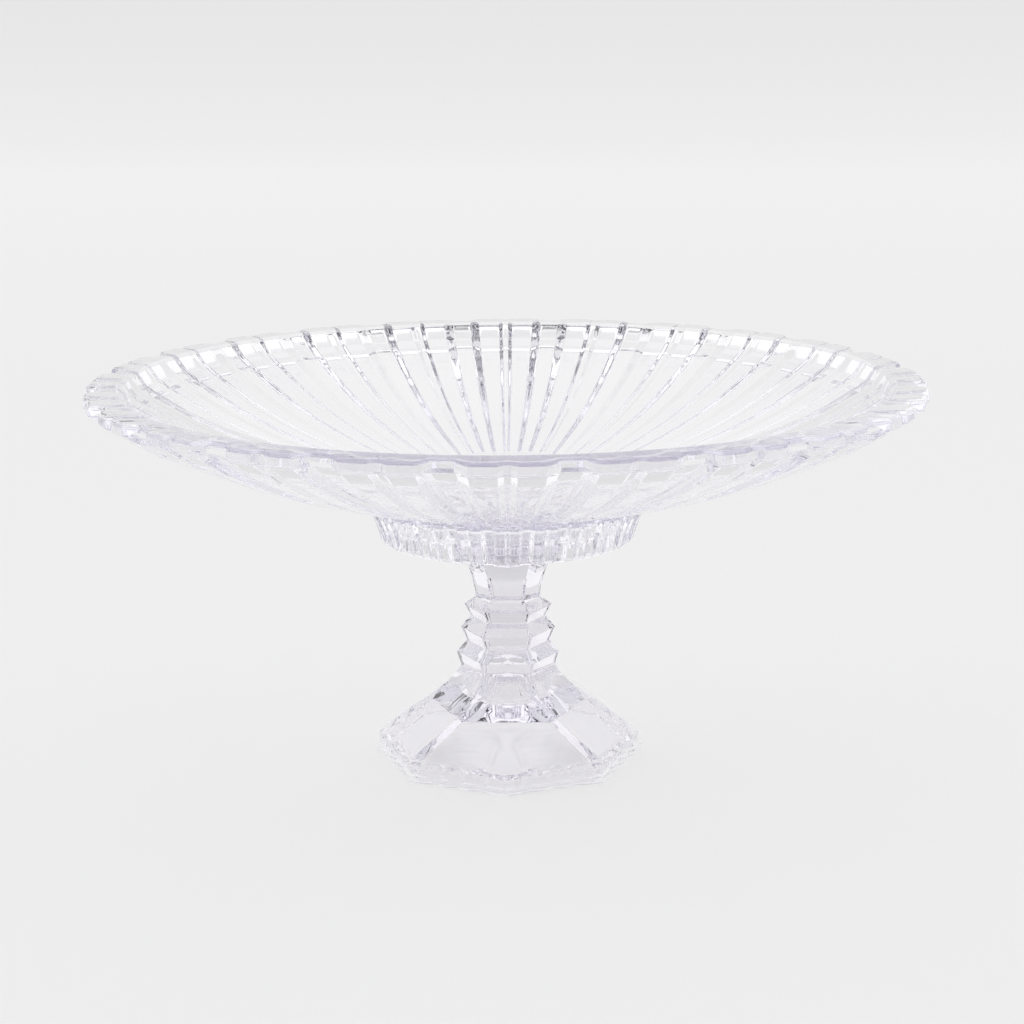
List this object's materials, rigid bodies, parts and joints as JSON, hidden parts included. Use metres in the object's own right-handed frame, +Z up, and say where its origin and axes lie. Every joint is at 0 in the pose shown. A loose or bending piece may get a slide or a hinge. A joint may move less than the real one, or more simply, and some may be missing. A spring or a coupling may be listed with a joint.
{
  "type": "pedestal cake stand",
  "caption": "Clear cut-crystal style cake stand: a shallow fluted dish with a scalloped rim that screws onto a short faceted pedestal with stepped collars and an octagonal foot.",
  "frame": {"origin": "centre of the foot, on the surface that the stand rests on", "axes": "+Z up along the pedestal's axis, towards the bowl; -Y is the front, where a rib of the bowl faces"},
  "size_m": [0.3, 0.3, 0.142],
  "materials": {
    "pedestal": "clear moulded, polished",
    "washer": "clear soft silicone",
    "bowl": "clear moulded, polished"
  },
  "bodies": {
    "pedestal": {"pedestal": "pedestal"},
    "washer": {"seat_washer": "washer"},
    "bowl": {"bowl": "bowl"}
  },
  "joints": [
    {"name": "bowl_lift", "type": "slide", "parent": "pedestal", "child": "washer", "axis": [0, 0, 1], "range_m": [0, 0.0061]},
    {"name": "bowl_turn", "type": "hinge", "parent": "washer", "child": "bowl", "pos_m": [0, 0, 0.09], "axis": [0, 0, 1], "range_deg": [0, 360]}
  ],
  "couplings": [
    {"joint": "bowl_lift", "follows": "bowl_turn", "m_per_rad": 0.00095493}
  ]
}
